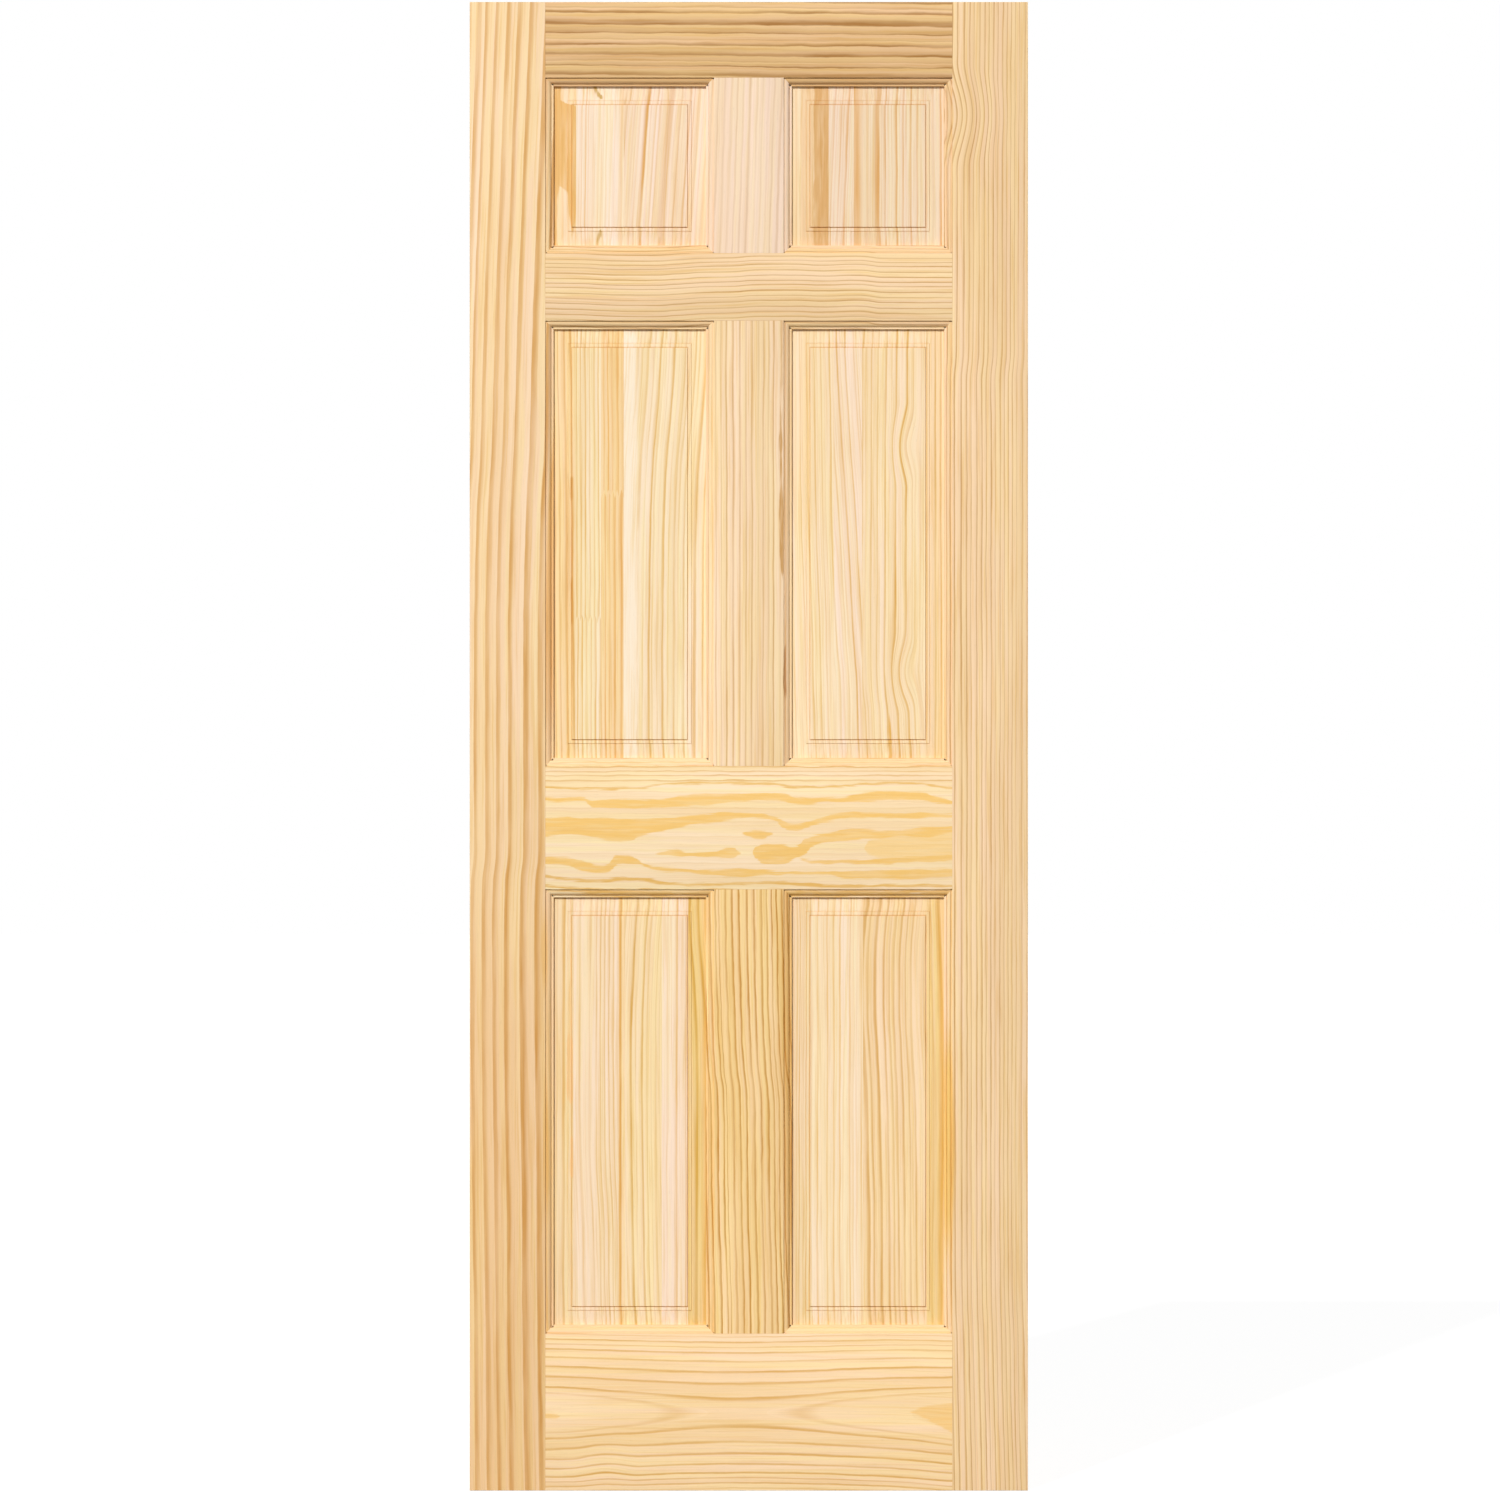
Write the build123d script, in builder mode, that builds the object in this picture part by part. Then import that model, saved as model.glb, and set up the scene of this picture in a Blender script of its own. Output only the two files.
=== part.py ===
"""Six-panel interior door slab in clear pine, built as a joiner builds it.

Two stiles run the full height. Four rails run between them and three mullions run between the rails.
Each inner edge is moulded with an ovolo and grooved for the panels. Rail and mullion ends are coped
over the mouldings they meet, with a stub tenon in the groove. Six raised panels float in the grooves.

Millimetres. The origin is on the hinge edge, at the floor, in the middle of the thickness.
+X runs across the door to the lock edge, -Y is the front face and +Z is up.
"""

import os

from build123d import *

MM3_PER_LITRE = 1e6

# Door slab
DOOR_WIDTH = 762.0
DOOR_HEIGHT = 2032.0
DOOR_THICKNESS = 34.9
EDGE_EASE = 1.0  # rounding of the long outer arrises

# Framing members, each measured over its moulded edges
STILE_WIDTH = 114.3
TOP_RAIL_WIDTH = 114.3
FRIEZE_RAIL_WIDTH = 114.3
LOCK_RAIL_WIDTH = 190.5
BOTTOM_RAIL_WIDTH = 225.4
MULLION_WIDTH = 117.5

# Sight heights, from lip to lip. The middle row takes the rest of the door's height
TOP_SIGHT = 217.5
BOTTOM_SIGHT = 584.2

# Moulded edge: a quirk below the face, a quarter-round ovolo, a flat lip, then the panel groove
QUIRK_DEPTH = 2.8
QUIRK_WIDTH = 1.9
OVOLO_RADIUS = 5.9
LIP_WIDTH = 3.2
GROOVE_WIDTH = 7.1
GROOVE_DEPTH = 12.7
TENON_GAP = 0.5  # glue room between a stub tenon and the bottom of its groove

# Raised panel: a tongue in the groove, a bevel, a low shoulder, a flat land, then the raised field
PANEL_FIT = 0.15  # room on each face of the tongue
PANEL_PLAY = 3.0  # room at each edge of the tongue, for the panel to swell and shrink
BEVEL_WIDTH = 19.9
BEVEL_RISE = 1.8
SHOULDER_STEP = 0.7
LAND_WIDTH = 5.5
FIELD_STEP = 1.6

# What follows from the sizes above
face = DOOR_THICKNESS / 2
sticking_width = QUIRK_WIDTH + OVOLO_RADIUS + LIP_WIDTH
sight_width = (DOOR_WIDTH - 2 * STILE_WIDTH - MULLION_WIDTH) / 2
tenon_length = GROOVE_DEPTH - TENON_GAP
tongue_length = GROOVE_DEPTH - PANEL_PLAY

lock_rail_z = BOTTOM_RAIL_WIDTH + BOTTOM_SIGHT
middle_sight_z = lock_rail_z + LOCK_RAIL_WIDTH
top_rail_z = DOOR_HEIGHT - TOP_RAIL_WIDTH
top_sight_z = top_rail_z - TOP_SIGHT
frieze_rail_z = top_sight_z - FRIEZE_RAIL_WIDTH
middle_sight = frieze_rail_z - middle_sight_z

# The three rows of panels: the height of the lower lip, and the sight height
rows = {
    "bottom": (BOTTOM_RAIL_WIDTH, BOTTOM_SIGHT),
    "middle": (middle_sight_z, middle_sight),
    "top": (top_sight_z, TOP_SIGHT),
}

# The two columns of panels: the left lip of each
mullion_x = STILE_WIDTH + sight_width
columns = {"left": STILE_WIDTH, "right": mullion_x + MULLION_WIDTH}


# What the moulding cutter takes off an edge: both mouldings and the groove between them.
# The lip lies on the local Y axis and the wood lies on the -X side of it.
with BuildSketch() as edge_cut:
    with BuildLine():
        arris_u = -sticking_width
        quirk_v = face - QUIRK_DEPTH
        lip_v = quirk_v - OVOLO_RADIUS
        ovolo_start = (arris_u + QUIRK_WIDTH, quirk_v)
        ovolo_end = (-LIP_WIDTH, lip_v)
        Polyline((0, lip_v), (0, face), (arris_u, face), (arris_u, quirk_v), ovolo_start)
        RadiusArc(ovolo_start, ovolo_end, OVOLO_RADIUS)
        Line(ovolo_end, (0, lip_v))
    make_face()
    mirror(about=Plane.XZ)
    with Locations((-GROOVE_DEPTH / 2, 0)):
        Rectangle(GROOVE_DEPTH, GROOVE_WIDTH)


def member_section(width, lower_edge_moulded, upper_edge_moulded):
    """The section of a framing member, from local x = 0 to its width, with its moulded edges cut."""
    with BuildSketch(Plane.XY) as section:
        with Locations((width / 2, 0)):
            Rectangle(width, DOOR_THICKNESS)
        if upper_edge_moulded:
            with Locations((width, 0)):
                add(edge_cut.sketch, mode=Mode.SUBTRACT)
        if lower_edge_moulded:
            add(edge_cut.sketch, rotation=180, mode=Mode.SUBTRACT)
    return section.sketch


# Stiles: moulded on the inner edge, eased on the outer one
with BuildPart() as hinge_stile:
    with BuildSketch(Plane.XY):
        add(member_section(STILE_WIDTH, False, True))
    extrude(amount=DOOR_HEIGHT)
    outer_arrises = hinge_stile.edges().filter_by(Axis.Z).group_by(Axis.X)[0]
    fillet(outer_arrises, radius=EDGE_EASE)

with BuildPart() as lock_stile:
    add(mirror(hinge_stile.part, about=Plane.YZ.offset(DOOR_WIDTH / 2), mode=Mode.PRIVATE))

stiles = {"hinge_stile": hinge_stile, "lock_stile": lock_stile}


def rail(z, width, lower_edge_moulded, upper_edge_moulded):
    """A rail with its lower edge at height z, coped and tenoned into both stiles."""
    tenon_x = STILE_WIDTH - tenon_length
    tenon_end = Plane(origin=(tenon_x, 0, z), x_dir=(0, 0, 1), z_dir=(1, 0, 0))
    with BuildPart() as piece:
        with BuildSketch(tenon_end):
            add(member_section(width, lower_edge_moulded, upper_edge_moulded))
        extrude(amount=DOOR_WIDTH - 2 * tenon_x)
        for stile in stiles.values():
            add(stile.part, mode=Mode.SUBTRACT)
    return piece


rails = {
    "bottom_rail": rail(0, BOTTOM_RAIL_WIDTH, False, True),
    "lock_rail": rail(lock_rail_z, LOCK_RAIL_WIDTH, True, True),
    "frieze_rail": rail(frieze_rail_z, FRIEZE_RAIL_WIDTH, True, True),
    "top_rail": rail(top_rail_z, TOP_RAIL_WIDTH, True, False),
}


def mullion(lower_lip_z, sight_height):
    """A mullion standing between the two rails of one row, coped and tenoned into both."""
    with BuildPart() as piece:
        with BuildSketch(Plane.XY.offset(lower_lip_z - tenon_length)):
            with Locations((mullion_x, 0)):
                add(member_section(MULLION_WIDTH, True, True))
        extrude(amount=sight_height + 2 * tenon_length)
        for neighbour in rails.values():
            add(neighbour.part, mode=Mode.SUBTRACT)
    return piece


mullions = {f"{row}_mullion": mullion(*place) for row, place in rows.items()}


def panel_section(sight):
    """A raised panel's section across one sight size, centred, from tongue to field to tongue."""
    tongue_v = GROOVE_WIDTH / 2 - PANEL_FIT
    shoulder_v = tongue_v + BEVEL_RISE
    land_v = shoulder_v + SHOULDER_STEP
    field_v = land_v + FIELD_STEP
    lip_u = sight / 2
    shoulder_u = lip_u - BEVEL_WIDTH
    field_u = shoulder_u - LAND_WIDTH
    edge_u = lip_u + tongue_length
    with BuildSketch(Plane.XY) as section:
        with BuildLine():
            Polyline(
                (0, field_v),
                (field_u, field_v),
                (field_u, land_v),
                (shoulder_u, land_v),
                (shoulder_u, shoulder_v),
                (lip_u, tongue_v),
                (edge_u, tongue_v),
                (edge_u, 0),
            )
            mirror(about=Plane.XZ)
            mirror(about=Plane.YZ)
        make_face()
    return section.sketch


def panel(left_lip_x, lower_lip_z, sight_height):
    """A raised panel: one cutter runs along its sides and across its ends, so its bevels meet in mitres."""
    middle_x = left_lip_x + sight_width / 2
    middle_z = lower_lip_z + sight_height / 2
    along = Plane(origin=(middle_x, 0, middle_z), x_dir=(1, 0, 0), z_dir=(0, 0, 1))
    across = Plane(origin=(middle_x, 0, middle_z), x_dir=(0, 0, 1), z_dir=(1, 0, 0))
    with BuildPart() as piece:
        with BuildSketch(along):
            add(panel_section(sight_width))
        extrude(amount=sight_height / 2 + tongue_length, both=True)
        with BuildSketch(across):
            add(panel_section(sight_height))
        extrude(amount=sight_width / 2 + tongue_length, both=True, mode=Mode.INTERSECT)
    return piece


panels = {
    f"{row}_{side}_panel": panel(left_lip_x, *place)
    for row, place in rows.items()
    for side, left_lip_x in columns.items()
}

os.makedirs("parts", exist_ok=True)
for name, piece in {**stiles, **rails, **mullions, **panels}.items():
    piece.part.label = name
    export_step(piece.part, f"parts/{name}.step")
    print(f"{name}: {piece.part.volume / MM3_PER_LITRE:.3f} litres")
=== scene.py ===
# %% [markdown]
# # A six-panel door in clear pine
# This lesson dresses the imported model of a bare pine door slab. Two stiles, four rails and three mullions
# frame six raised panels. The model gives the sizes; here each piece gets a finer mesh and its own board of
# pine. We load the model first and keep its box, because the dressed door has to stay inside it.

# %% Load the door
import math
import random
from collections import namedtuple

import bmesh
import bpy
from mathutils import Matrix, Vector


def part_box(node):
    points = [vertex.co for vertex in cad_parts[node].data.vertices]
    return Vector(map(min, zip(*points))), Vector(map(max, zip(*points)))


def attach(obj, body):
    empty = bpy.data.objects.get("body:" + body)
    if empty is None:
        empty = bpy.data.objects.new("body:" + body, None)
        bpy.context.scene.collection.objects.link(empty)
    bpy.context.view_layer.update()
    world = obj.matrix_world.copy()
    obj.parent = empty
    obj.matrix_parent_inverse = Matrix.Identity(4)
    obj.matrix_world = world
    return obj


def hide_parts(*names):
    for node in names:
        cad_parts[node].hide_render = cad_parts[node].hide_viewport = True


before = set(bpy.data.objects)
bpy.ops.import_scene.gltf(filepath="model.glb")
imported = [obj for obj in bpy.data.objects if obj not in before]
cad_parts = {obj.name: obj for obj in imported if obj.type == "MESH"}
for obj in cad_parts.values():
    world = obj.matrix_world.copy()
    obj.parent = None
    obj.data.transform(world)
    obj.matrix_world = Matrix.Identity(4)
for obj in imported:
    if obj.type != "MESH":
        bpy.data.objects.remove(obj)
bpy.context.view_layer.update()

print("pieces in the model:", sorted(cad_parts))

# %% [markdown]
# ## Sizes
# A joiner works in millimetres, and so does this lesson until a mesh is made. The outer sizes of every board
# come from the model, so that a change of the door's size moves the meshes too.

# %% Sizes from the model
MM = 0.001


def sides(node):
    """A node's left, right, bottom and top, in millimetres."""
    low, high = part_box(node)
    return low.x / MM, high.x / MM, low.z / MM, high.z / MM


hinge_edge, hinge_lip, door_bottom, door_top = sides("hinge_stile")
lock_lip, lock_edge = sides("lock_stile")[:2]
mullion_left, mullion_right = sides("middle_mullion")[:2]
rail_heights = {name: sides(name)[2:] for name in ("bottom_rail", "lock_rail", "frieze_rail", "top_rail")}
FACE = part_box("hinge_stile")[1].y / MM

columns = {"left": (hinge_lip, mullion_left), "right": (mullion_right, lock_lip)}
rows = {
    "bottom": (rail_heights["bottom_rail"][1], rail_heights["lock_rail"][0]),
    "middle": (rail_heights["lock_rail"][1], rail_heights["frieze_rail"][0]),
    "top": (rail_heights["frieze_rail"][1], rail_heights["top_rail"][0]),
}
print(f"door {lock_edge:.0f} x {door_top:.0f} x {2 * FACE:.1f} mm")

# %% [markdown]
# ## The moulded edge
# One cutter shapes every inner edge of the frame: a small quirk below the face, a quarter-round ovolo, a
# flat lip and then the groove that holds the panel. A second cutter shapes the ends of rails and mullions to
# sit over that moulding, which joiners call coping. We could extrude the outline and cut it with booleans,
# but a list of levels through the thickness is simpler. At each depth we note how far a moulded, a plain and
# a coped edge stands in from the lip, and any board of the frame is then a stack of rectangles.

# %% Levels through the thickness
QUIRK_DEPTH = 2.8
QUIRK_WIDTH = 1.9
OVOLO_RADIUS = 5.9
LIP_WIDTH = 3.2
GROOVE_WIDTH = 7.1
GROOVE_DEPTH = 12.7
TENON_LENGTH = 12.2
ARRIS_EASE = 0.5
LIP_EASE = 0.3
EASE_STEPS = 3
OVOLO_STEPS = 16
STICKING = QUIRK_WIDTH + OVOLO_RADIUS + LIP_WIDTH

Level = namedtuple("Level", "depth moulded plain coped")


def quarter_turns(steps):
    """Angles from nothing to a quarter turn, in equal steps."""
    return [math.pi / 2 * step / steps for step in range(steps + 1)]


def levels_of_one_face():
    """The levels from one face of the door down to the bottom of the panel groove."""
    levels = []
    for turn in quarter_turns(EASE_STEPS):
        inward = ARRIS_EASE * (1 - math.sin(turn))
        down = ARRIS_EASE * (1 - math.cos(turn))
        levels.append(Level(down, STICKING + inward, inward, -STICKING))
    levels.append(Level(QUIRK_DEPTH, STICKING, 0, -STICKING))
    for turn in quarter_turns(OVOLO_STEPS):
        inward = STICKING - QUIRK_WIDTH - OVOLO_RADIUS * math.sin(turn)
        down = QUIRK_DEPTH + OVOLO_RADIUS * (1 - math.cos(turn))
        levels.append(Level(down, inward, 0, -inward))
    lip_depth = QUIRK_DEPTH + OVOLO_RADIUS
    for turn in quarter_turns(EASE_STEPS):
        inward = LIP_EASE * (1 - math.sin(turn))
        down = lip_depth + LIP_EASE * (1 - math.cos(turn))
        levels.append(Level(down, inward, 0, -inward))
    groove_side = FACE - GROOVE_WIDTH / 2
    levels.append(Level(groove_side, 0, 0, 0))
    levels.append(Level(groove_side, GROOVE_DEPTH, 0, -TENON_LENGTH))
    return levels


front_levels = levels_of_one_face()
back_levels = [level._replace(depth=2 * FACE - level.depth) for level in reversed(front_levels)]
frame_levels = front_levels + back_levels
print(f"moulded edge: {STICKING:.1f} mm wide, {len(frame_levels)} levels through the thickness")

# %% [markdown]
# ## Skinning a stack of rectangles
# Every piece of this door narrows or widens in steps from its front to its back, so one small function can
# skin them all: four corners at each level, joined to the next level by four faces. The corners of a moulded
# piece then run along true mitres. Flat strips that lie in one plane are merged, and edges sharper than a
# slight bend stay crisp.

# %% Skin a piece
SHARP_ANGLE = math.radians(20)
FLAT_ANGLE = math.radians(0.5)
TINY = 1e-7
pieces = {}


def skin(name, levels):
    """A closed mesh over rectangles (depth, left, right, bottom, top) in millimetres, from front to back."""
    corners = []
    for depth, left, right, bottom, top in levels:
        y = depth - FACE
        corners += [(left, y, bottom), (right, y, bottom), (right, y, top), (left, y, top)]
    faces = [(0, 1, 2, 3), tuple(len(corners) - 1 - i for i in range(4))]
    for start in range(0, len(corners) - 4, 4):
        for side in range(4):
            a = start + side
            b = start + (side + 1) % 4
            faces.append((a, a + 4, b + 4, b))
    mesh = bpy.data.meshes.new(name)
    mesh.from_pydata([[value * MM for value in corner] for corner in corners], [], faces)
    draft = bmesh.new()
    draft.from_mesh(mesh)
    bmesh.ops.remove_doubles(draft, verts=draft.verts, dist=TINY)
    bmesh.ops.dissolve_degenerate(draft, edges=draft.edges, dist=TINY)
    bmesh.ops.dissolve_limit(draft, angle_limit=FLAT_ANGLE, verts=draft.verts, edges=draft.edges)
    draft.to_mesh(mesh)
    draft.free()
    piece = bpy.data.objects.new(name, mesh)
    bpy.context.collection.objects.link(piece)
    pieces[name] = piece
    return piece


def crisp(piece):
    """Shade a piece smooth over its curves and crisp at its arrises."""
    piece.data.shade_smooth()
    piece.data.set_sharp_from_angle(angle=SHARP_ANGLE)


def frame_piece(name, left, right, bottom, top):
    """A board of the frame. Each side is its place and the way its edge is worked."""
    levels = []
    for level in frame_levels:
        levels.append((
            level.depth,
            left[0] + getattr(level, left[1]),
            right[0] - getattr(level, right[1]),
            bottom[0] + getattr(level, bottom[1]),
            top[0] - getattr(level, top[1]),
        ))
    crisp(skin(name + "_board", levels))


print("ready to skin", len(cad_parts), "pieces")

# %% [markdown]
# ## Stiles, rails and mullions
# The stiles run the full height with plain outer edges. Rails fit between the stiles and mullions between
# the rails, so their ends are coped. The top and bottom rails are moulded on their inner edge only.

# %% Make the frame
bottom_end = (door_bottom, "plain")
top_end = (door_top, "plain")
frame_piece("hinge_stile", (hinge_edge, "plain"), (hinge_lip, "moulded"), bottom_end, top_end)
frame_piece("lock_stile", (lock_lip, "moulded"), (lock_edge, "plain"), bottom_end, top_end)

for name, (bottom, top) in rail_heights.items():
    lower_way = "plain" if name == "bottom_rail" else "moulded"
    upper_way = "plain" if name == "top_rail" else "moulded"
    frame_piece(name, (hinge_lip, "coped"), (lock_lip, "coped"), (bottom, lower_way), (top, upper_way))

for row, (bottom, top) in rows.items():
    mullion_sides = (mullion_left, "moulded"), (mullion_right, "moulded")
    frame_piece(row + "_mullion", *mullion_sides, (bottom, "coped"), (top, "coped"))

print("frame boards:", len(pieces))

# %% [markdown]
# ## Raised panels
# A panel's edge is thinned to a tongue that floats in the groove. From the lip the bevel climbs to a low
# shoulder, then a narrow land, then the raised field. The cutter's points score a fine line at the foot of
# each step. One cutter goes round all four edges, so the panel is a stack of rectangles too, and its bevels
# meet in mitres.

# %% Make the panels
TONGUE_HALF = 3.4
SHOULDER_HALF = 5.2
LAND_HALF = 5.9
FIELD_HALF = 7.5
TONGUE_LENGTH = 9.7
BEVEL_WIDTH = 19.9
LAND_WIDTH = 5.5
STEP_SLOPE = 0.7
FIELD_EASE = 0.35
SHOULDER_EASE = 0.2
LINE_WIDTH = 0.5
LINE_SIDE = 0.2
LINE_DEPTH = 0.3

field_inset = BEVEL_WIDTH + LAND_WIDTH
field_foot = field_inset - STEP_SLOPE
shoulder_foot = BEVEL_WIDTH - STEP_SLOPE
raised_face = [
    (field_inset + FIELD_EASE, FIELD_HALF),
    (field_inset, FIELD_HALF - FIELD_EASE),
    (field_foot, LAND_HALF - LINE_DEPTH),
    (field_foot - LINE_WIDTH, LAND_HALF - LINE_DEPTH),
    (field_foot - LINE_WIDTH - LINE_SIDE, LAND_HALF),
    (BEVEL_WIDTH + SHOULDER_EASE, LAND_HALF),
    (BEVEL_WIDTH, LAND_HALF - SHOULDER_EASE),
    (shoulder_foot, SHOULDER_HALF - LINE_DEPTH),
    (shoulder_foot - LINE_WIDTH, SHOULDER_HALF - LINE_DEPTH),
    (shoulder_foot - LINE_WIDTH - LINE_SIDE, SHOULDER_HALF),
    (0, TONGUE_HALF),
    (-TONGUE_LENGTH, TONGUE_HALF),
]
panel_steps = raised_face + [(inset, -half) for inset, half in reversed(raised_face)]

for row, (bottom, top) in rows.items():
    for column, (left, right) in columns.items():
        levels = []
        for inset, half in panel_steps:
            levels.append((FACE - half, left + inset, right - inset, bottom + inset, top - inset))
        crisp(skin(f"{row}_{column}_panel_board", levels))
print("all boards:", len(pieces))

# %% [markdown]
# ## Pine
# Pine shows its growth rings: pale soft early wood, then a darker honey line of late wood that ends sharply
# where the next year began. Painting stripes on the face would break at every moulding, so the wood here is
# solid: each point of a board knows its distance from the heart of the tree, and the ring count follows from
# that. The grain then runs over mouldings and shows arcs on the ends, as in a real board.
# First come short words for the few nodes that the wood needs.

# %% Words for a wood recipe
MIX_FIRST = 6
MIX_SECOND = 7
MIX_RESULT = 2
CONE_VALUE = 1
SEED_STEPS = (3.7, 7.1, 11.3)
EVERY_DEPTH = 1e6


def colour(red, green, blue):
    """A colour as seen on screen, from 0 to 255, in the linear values that shaders use."""
    linear = []
    for value in (red, green, blue):
        share = value / 255
        linear.append(share / 12.92 if share <= 0.04045 else ((share + 0.055) / 1.055) ** 2.4)
    return (*linear, 1.0)


class Recipe:
    """A material being put together."""

    def __init__(self, name):
        self.material = bpy.data.materials.new(name)
        self.material.use_nodes = True
        self.nodes = self.material.node_tree.nodes
        self.shader = self.nodes["Principled BSDF"]

    def feed(self, socket, value):
        """Link a socket to another node's output, or set it to a value."""
        if isinstance(value, bpy.types.NodeSocket):
            self.material.node_tree.links.new(value, socket)
        else:
            socket.default_value = value

    def add(self, kind, *values, output=0, **options):
        """Add a node, feed its inputs in order and give back one of its outputs."""
        node = self.nodes.new(kind)
        for option, choice in options.items():
            setattr(node, option, choice)
        for socket, value in zip(node.inputs, values):
            self.feed(socket, value)
        return node.outputs[output]

    def math(self, operation, *values):
        return self.add("ShaderNodeMath", *values, operation=operation)

    def total(self, values):
        """The sum of several outputs."""
        result = values[0]
        for value in values[1:]:
            result = self.math("ADD", result, value)
        return result

    def ramp(self, value, low, high, to_low=0.0, to_high=1.0, bend="SMOOTHSTEP"):
        """A value that goes from to_low to to_high as another goes from low to high."""
        return self.add("ShaderNodeMapRange", value, low, high, to_low, to_high, interpolation_type=bend)

    def mix(self, amount, first, second, blend="MIX"):
        node = self.nodes.new("ShaderNodeMix")
        node.data_type = "RGBA"
        node.blend_type = blend
        self.feed(node.inputs[0], amount)
        self.feed(node.inputs[MIX_FIRST], first)
        self.feed(node.inputs[MIX_SECOND], second)
        return node.outputs[MIX_RESULT]

    def noise(self, place, sizes, seed, detail=2.0):
        """Even noise from 0 to 1, with grains of the given sizes in millimetres."""
        scale = [1 / size for size in sizes]
        shift = [seed * step for step in SEED_STEPS]
        spot = self.add("ShaderNodeMapping", place, shift, (0, 0, 0), scale)
        return self.add("ShaderNodeTexNoise", spot, 0.0, 1.0, detail)

    def mound(self, place, along, across, long_reach, wide_reach, height=1.0, soft=1.0):
        """A smooth mound on the board's face. A small soft value makes its top flat and its rim steep."""
        centre = (along, across, 0)
        reach = (long_reach, wide_reach, EVERY_DEPTH)
        spot = self.add("ShaderNodeMapping", place, centre, (0, 0, 0), reach, vector_type="TEXTURE")
        cone = self.add("ShaderNodeTexGradient", spot, output=CONE_VALUE, gradient_type="SPHERICAL")
        return self.ramp(cone, 0.0, soft, 0.0, height)

    def line_through(self, value, points, straight=False):
        """A curve through points (from, to), held level beyond its ends."""
        froms = [point[0] for point in points]
        tos = [point[1] for point in points]
        low_from, high_from, low_to, high_to = min(froms), max(froms), min(tos), max(tos)
        if low_to == high_to:
            return low_to
        node = self.nodes.new("ShaderNodeFloatCurve")
        dots = node.mapping.curves[0].points
        while len(dots) < len(points):
            dots.new(0.5, 0.5)
        for dot, (start, end) in zip(dots, sorted(points)):
            dot.location = ((start - low_from) / (high_from - low_from), (end - low_to) / (high_to - low_to))
            dot.handle_type = "VECTOR" if straight else "AUTO_CLAMPED"
        node.mapping.update()
        share = self.ramp(value, low_from, high_from, bend="LINEAR")
        self.feed(node.inputs[1], share)
        return self.ramp(node.outputs[0], 0.0, 1.0, low_to, high_to, bend="LINEAR")


print("middle grey in a shader's values:", round(colour(128, 128, 128)[0], 3))

# %% [markdown]
# ## Rings, swells and bands
# A board is described the way a sawyer sees it: where the heart of the tree lay, where the ring lines cross
# the face, and how wide and how dark the late wood of each ring is. The grain drifts along the board and
# swells round a knot that was cut away. A band is late wood that a flat saw cut opened into a broad flame,
# told by its lower and upper edge at a few stations along the board.

# %% Words for a board
EXTRA_RINGS = 4
FINE_WIDTH = 0.35
FINE_SHIFT = 0.2
FAINTEST_FINE = 0.5
Ring = namedtuple("Ring", "place width strength")
Swell = namedtuple("Swell", "along across long_reach wide_reach move")
Patch = namedtuple("Patch", "along across long_reach wide_reach soft tone strength")
Band = namedtuple("Band", "tone stations soft", defaults=(3.0,))


def places_between(first, last, spacing, seed, unevenness=0.3):
    """Places a spacing apart, each a little off as the seasons differ."""
    dice = random.Random(seed)
    places = []
    place = first
    while place < last:
        places.append(place)
        place += spacing * (1 + dice.uniform(-unevenness, unevenness))
    return places


def rings_from(places, seed, share=0.4, faint=0.6, bold=1.0):
    """Rings at the given places. Each is late wood over a share of its gap, between faint and bold."""
    dice = random.Random(seed)
    gaps = [abs(after - before) for before, after in zip(places, places[1:])]
    gaps = gaps[:1] + gaps
    return [Ring(place, share * gap, dice.uniform(faint, bold)) for place, gap in zip(places, gaps)]


def fill_gaps(rings, spacing, seed, strength):
    """The given rings with faint ones in the free wood between them."""
    dice = random.Random(seed)
    filled = []
    for ring, following in zip(rings, rings[1:]):
        filled.append(ring)
        free = following.place - following.width - ring.place
        count = int(free / spacing)
        for number in range(count):
            shift = dice.uniform(-FINE_SHIFT, FINE_SHIFT) * spacing
            place = ring.place + free * (number + 1) / (count + 1) + shift
            filled.append(Ring(place, FINE_WIDTH * spacing, strength * dice.uniform(FAINTEST_FINE, 1.0)))
    return filled + [rings[-1]]


def ring_table(rings, heart_across, sunk):
    """Pairs of distance and ring from the heart outwards, with a few more of the same at both ends."""
    ordered = sorted(rings, key=lambda ring: abs(ring.place - heart_across))
    radii = [math.hypot(ring.place - heart_across, sunk) for ring in ordered]
    first_step = radii[1] - radii[0]
    last_step = radii[-1] - radii[-2]
    inner = [(radii[0] - first_step * step, ordered[0]) for step in range(EXTRA_RINGS, 0, -1)]
    outer = [(radii[-1] + last_step * (step + 1), ordered[-1]) for step in range(EXTRA_RINGS)]
    return [pair for pair in inner if pair[0] > 0] + list(zip(radii, ordered)) + outer


sample = rings_from(places_between(0, 40, spacing=8, seed=1), seed=1)
print("a sample of rings:", [round(ring.place, 1) for ring in sample])

# %% [markdown]
# ## Following the grain
# Grain is never straight. It wanders slowly, trembles finely, drifts along the board and swells round knots.
# Short lengths of pine are joined end to end with glued fingers, and the grain jumps there along a zigzag.
# All of these are pushes across the board, so we add them up and take them off before counting rings.
# Noise seldom touches 0 or 1, so a reach names the part of its range that counts.

# %% Pushes across the grain
SLOW_GRAIN = (260, 80, 80)
QUICK_GRAIN = (34, 9, 9)
NOISE_REACH = (0.2, 0.8)
FINGER_HALF_PITCH = 3.0
FINGER_LENGTH = 12.0
FINGER_JUMP = 4.0


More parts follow.
